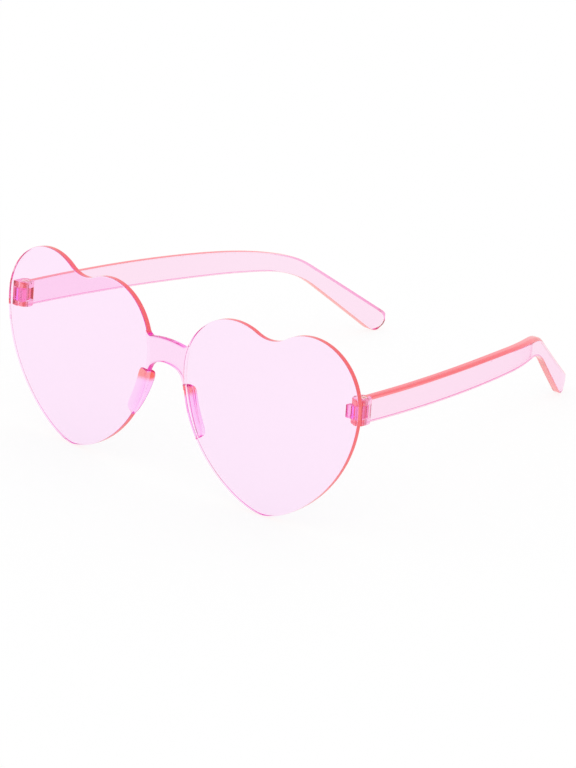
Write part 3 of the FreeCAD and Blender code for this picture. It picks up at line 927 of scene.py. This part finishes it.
def temple_painted_light(zone, place, normal):
    """Painted light tint of a place on a temple in the upright design frame: glow and deeper colour of
    light carried through the plastic, clear on the sides.
    """
    plastic = settings().plastic
    temple = settings().temple
    point = hinge_point()
    # Painted deeper colour on the forks, with painted salmon-red glow on faces that look forward to the
    # lens
    if zone == FORK:
        return mixed(plastic.fork, plastic.stop, smooth_step(*STOP_GLOW_TURN, -normal.y))
    if zone != TEMPLE_EDGE:
        return plastic.clear
    inward, heading = bow(place.y - point.y)
    side = (abs(place.x) - point.x + inward) * math.cos(heading) / temple.thickness
    # Painted glow: salmon-red on the outer top edge, paler on the bar's lower edge, turning deeper on the
    # hook's front edge behind the bend
    crown = smooth_step(*CROWN_GLOW_TURN, normal.z) * smooth_step(*CROWN_GLOW_WIDTH, side)
    bend = point.y + temple.bend_reach
    behind = smooth_step(bend - BEND_FADE, bend + BEND_FADE, place.y)
    lower = mixed(plastic.underside_glow, plastic.hook, behind)
    upper = mixed(plastic.clear, plastic.crown, crown)
    return mixed(upper, lower, smooth_step(*UNDERSIDE_GLOW_TURN, -normal.z))


def finished(piece, material, painted_light_of):
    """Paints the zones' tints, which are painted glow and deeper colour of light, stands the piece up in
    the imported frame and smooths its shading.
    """
    data = piece.data
    data.attributes.new("tint", "FLOAT_COLOR", "CORNER")
    data.attributes.new("outside_glow", "FLOAT", "CORNER")
    colours = data.attributes["tint"]
    outside_glow_flags = data.attributes["outside_glow"]
    # Each corner takes its zone's painted light tint, and a flag where the painted glow shows only from
    # outside
    for face in data.polygons:
        for corner in face.loop_indices:
            outside_glow_flags.data[corner].value = float(face.material_index in OUTSIDE_GLOW_ZONES)
            place = data.vertices[data.loops[corner].vertex_index].co
            colours.data[corner].color = painted_light_of(face.material_index, place, face.normal)
    data.polygons.foreach_set("material_index", [0] * len(data.polygons))
    data.materials.clear()
    data.materials.append(material)
    data.transform(standing_matrix())
    data.polygons.foreach_set("use_smooth", [True] * len(data.polygons))
    data.set_sharp_from_angle(angle=SHARP_ANGLE)
    weighted = piece.modifiers.new("even_shading", "WEIGHTED_NORMAL")
    weighted.keep_sharp = True
    weighted.weight = SHADING_WEIGHT
    return piece


class SUNGLASSES_OT_front_moulding(bpy.types.Operator):
    """Builds the front as one clear moulding: hearts, bridge, nose pads and hinge tongues"""

    bl_idname = "sunglasses.front_moulding"
    bl_label = "Front Moulding"

    def execute(self, context):
        material = clear_plastic("clear_pink_front_painted_light", settings().plastic.front_absorption)
        left = heart_lens(material)
        left = joined(left, nose_pad(material), "UNION")
        left = joined(left, hinge_lug(material), "UNION")
        right = mirrored(left, "right_half")
        front = joined(left, bridge_band(material), "UNION")
        front = joined(front, right, "UNION")
        front.name = "front_moulding"
        finished(front, material, front_painted_light)
        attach(front, "front")
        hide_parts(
            "left_heart_lens", "right_heart_lens", "bridge", "left_nose_pad", "right_nose_pad",
            "left_hinge_lug", "right_hinge_lug",
        )
        return {"FINISHED"}


class SUNGLASSES_OT_temples(bpy.types.Operator):
    """Builds the two folding temples with their forks and ear hooks"""

    bl_idname = "sunglasses.temples"
    bl_label = "Temples"

    def execute(self, context):
        material = clear_plastic("clear_pink_temple_painted_light", settings().plastic.temple_absorption)
        left = temple_with_fork(material)
        left.name = "left_temple_arm"
        right = mirrored(left, "right_temple_arm")
        for piece, body in ((left, "left_temple"), (right, "right_temple")):
            finished(piece, material, temple_painted_light)
            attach(piece, body)
            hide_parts(body)
        return {"FINISHED"}


class SUNGLASSES_OT_hinge_screws(bpy.types.Operator):
    """Gives the two hinge screws their steel"""

    bl_idname = "sunglasses.hinge_screws"
    bl_label = "Hinge Screws"

    def execute(self, context):
        material = screw_steel()
        for name in ("left_hinge_screw", "right_hinge_screw"):
            data = frame["nodes"][name].data
            data.materials.clear()
            data.materials.append(material)
        return {"FINISHED"}


class SUNGLASSES_OT_stage(bpy.types.Operator):
    """Lays the white floor, lights it and sets the camera"""

    bl_idname = "sunglasses.stage"
    bl_label = "Stage"

    def execute(self, context):
        scene = context.scene
        scene.view_settings.view_transform = "Standard"
        scene.cycles.max_bounces = LIGHT_BOUNCES
        scene.cycles.transmission_bounces = LIGHT_BOUNCES
        scene.cycles.glossy_bounces = LIGHT_BOUNCES
        scene.cycles.diffuse_bounces = LIGHT_BOUNCES
        white_world(scene)
        white_floor(scene)
        studio_camera(scene)
        return {"FINISHED"}


def white_world(scene):
    world = bpy.data.worlds.new("white_studio")
    scene.world = world
    world.use_nodes = True
    sky = world.node_tree.nodes["Background"]
    sky.inputs["Color"].default_value = (1.0, 1.0, 1.0, 1.0)
    sky.inputs["Strength"].default_value = 1.0


def white_floor(scene):
    mesh = bmesh.new()
    bmesh.ops.create_grid(mesh, x_segments=1, y_segments=1, size=FLOOR_HALF_WIDTH)
    data = bpy.data.meshes.new("white_floor")
    mesh.to_mesh(data)
    mesh.free()
    floor = bpy.data.objects.new("white_floor", data)
    floor.location.z = -FLOOR_DROP
    scene.collection.objects.link(floor)
    material = bpy.data.materials.new("white_floor")
    material.use_nodes = True
    tree = material.node_tree
    paint = tree.nodes["Principled BSDF"]
    paint.inputs["Base Color"].default_value = (1.0, 1.0, 1.0, 1.0)
    paint.inputs["Roughness"].default_value = 1.0
    paint.inputs["Specular IOR Level"].default_value = 0.0
    glow = tree.nodes.new("ShaderNodeEmission")
    blend = tree.nodes.new("ShaderNodeMixShader")
    blend.inputs["Fac"].default_value = FLOOR_GLOW
    tree.links.new(paint.outputs["BSDF"], blend.inputs[1])
    tree.links.new(glow.outputs["Emission"], blend.inputs[2])
    tree.links.new(blend.outputs["Shader"], tree.nodes["Material Output"].inputs["Surface"])
    data.materials.append(material)


def studio_camera(scene):
    stage = settings().stage
    level = math.cos(stage.elevation)
    aside = math.sin(stage.azimuth) * level
    ahead = math.cos(stage.azimuth) * level
    back = Vector((aside, -ahead, math.sin(stage.elevation)))
    right = Vector((math.cos(stage.azimuth), math.sin(stage.azimuth), 0))
    up = back.cross(right)
    middle = standing_matrix().translation
    place = middle + back * stage.distance + right * stage.side + up * stage.rise
    camera = bpy.data.objects.new("camera", bpy.data.cameras.new("camera"))
    camera.data.lens = stage.lens
    camera.data.clip_end = CAMERA_REACH
    camera.matrix_world = Matrix((right, up, back)).transposed().to_4x4()
    camera.location = place
    scene.collection.objects.link(camera)
    scene.camera = camera


class SUNGLASSES_PT_sidebar(bpy.types.Panel):
    """Lists the pieces in the sidebar"""

    bl_label = "Heart Shaped Sunglasses"
    bl_idname = "SUNGLASSES_PT_sidebar"
    bl_space_type = "VIEW_3D"
    bl_region_type = "UI"
    bl_category = "Sunglasses"

    def draw(self, context):
        for operator in OPERATORS:
            self.layout.operator(operator.bl_idname)
        for group in SunglassesSettings.__annotations__:
            box = self.layout.box()
            box.label(text=group.capitalize())
            chosen = getattr(context.scene.sunglasses, group)
            for entry in chosen.__annotations__:
                box.prop(chosen, entry)


OPERATORS = (
    SUNGLASSES_OT_front_moulding,
    SUNGLASSES_OT_temples,
    SUNGLASSES_OT_hinge_screws,
    SUNGLASSES_OT_stage,
)
CLASSES = (
    HeartLensSettings,
    BridgeSettings,
    NosePadSettings,
    HingeSettings,
    TempleSettings,
    PlasticSettings,
    StageSettings,
    SunglassesSettings,
) + OPERATORS + (SUNGLASSES_PT_sidebar,)


def register():
    for entry in CLASSES:
        bpy.utils.register_class(entry)
    bpy.types.Scene.sunglasses = PointerProperty(type=SunglassesSettings)


def unregister():
    del bpy.types.Scene.sunglasses
    for entry in reversed(CLASSES):
        bpy.utils.unregister_class(entry)


def main():
    register()
    bpy.ops.sunglasses.front_moulding()
    bpy.ops.sunglasses.temples()
    bpy.ops.sunglasses.hinge_screws()
    bpy.ops.sunglasses.stage()


if __name__ == "__main__":
    main()
